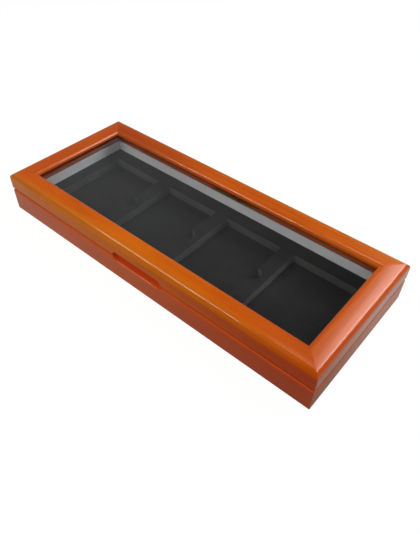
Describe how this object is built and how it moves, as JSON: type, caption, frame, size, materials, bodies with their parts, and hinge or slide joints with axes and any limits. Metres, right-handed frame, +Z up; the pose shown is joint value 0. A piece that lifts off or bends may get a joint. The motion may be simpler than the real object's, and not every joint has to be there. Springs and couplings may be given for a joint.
{
  "type": "glasses organizer case",
  "caption": "Low wooden case with a hinged glazed lid and a flocked tray of rectangular recesses with thumb notches for storing folded glasses.",
  "frame": {"origin": "centre of the underside of the closed case's bottom panel", "axes": "+X along the case's length, with the thumb notches on each recess's +X side; -Y towards the front with the finger pull, +Y towards the hinge; +Z up"},
  "size_m": [0.6, 0.2476, 0.07],
  "materials": {
    "lacquered_wood": "orange-brown stain under clear satin-gloss lacquer",
    "plywood_panel": "unfinished plywood",
    "grey_lining": "light grey suede-like lining",
    "black_flock": "short-pile black flock",
    "clear_glass": "clear polished",
    "black_strip": "black felt tape",
    "polished_brass": "polished",
    "screw_brass": "polished"
  },
  "bodies": {
    "base": {"base_front_rail": "lacquered_wood", "base_back_rail": "lacquered_wood", "base_left_rail": "lacquered_wood", "base_right_rail": "lacquered_wood", "base_bottom_panel": "plywood_panel", "lining_front": "grey_lining", "lining_back": "grey_lining", "lining_left": "grey_lining", "lining_right": "grey_lining", "glasses_tray": "black_flock", "hinge_base_leaf": "polished_brass", "hinge_pin": "polished_brass", "hinge_base_screw_1": "screw_brass", "hinge_base_screw_2": "screw_brass", "hinge_base_screw_3": "screw_brass"},
    "lid": {"lid_front_rail": "lacquered_wood", "lid_back_rail": "lacquered_wood", "lid_left_rail": "lacquered_wood", "lid_right_rail": "lacquered_wood", "lid_glass": "clear_glass", "glass_strip_front": "black_strip", "glass_strip_back": "black_strip", "glass_strip_left": "black_strip", "glass_strip_right": "black_strip", "hinge_lid_leaf": "polished_brass", "hinge_lid_screw_1": "screw_brass", "hinge_lid_screw_2": "screw_brass", "hinge_lid_screw_3": "screw_brass"}
  },
  "joints": [
    {"name": "lid_hinge", "type": "hinge", "parent": "base", "child": "lid", "pos_m": [0, 0.123, 0.04235], "axis": [-1, 0, 0], "range_deg": [0, 100]}
  ]
}
